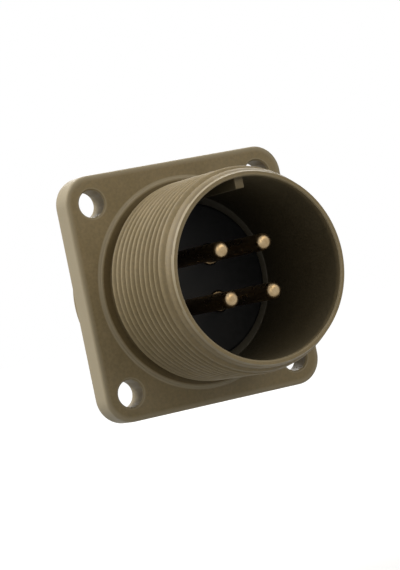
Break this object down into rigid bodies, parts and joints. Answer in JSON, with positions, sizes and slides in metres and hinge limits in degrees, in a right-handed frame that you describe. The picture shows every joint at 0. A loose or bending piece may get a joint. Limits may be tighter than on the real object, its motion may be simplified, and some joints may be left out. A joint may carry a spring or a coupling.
{
  "type": "circular connector receptacle",
  "caption": "Square-flange circular connector receptacle with threaded barrel, master key, black insulator and gold-plated pin contacts.",
  "frame": {"origin": "on the connector's axis, in the plane of the flange's back face, at the centre of the four mounting holes", "axes": "-Y along the axis out of the mouth, +Y out of the rear skirt, +Z from the axis towards the master key, X across the flange"},
  "size_m": [0.035, 0.0381, 0.035],
  "materials": {
    "shell_finish": "olive drab chromate over plating, matt",
    "insulator": "moulded black thermoset, semi-gloss",
    "contact_plating": "gold plate over turned brass",
    "ring_steel": "phosphated spring steel"
  },
  "bodies": {
    "root": {"shell": "shell_finish", "front_insert": "insulator", "rear_insert": "insulator", "contact_pin_a": "contact_plating", "contact_pin_b": "contact_plating", "contact_pin_c": "contact_plating", "contact_pin_d": "contact_plating", "retaining_ring": "ring_steel"}
  },
  "joints": []
}
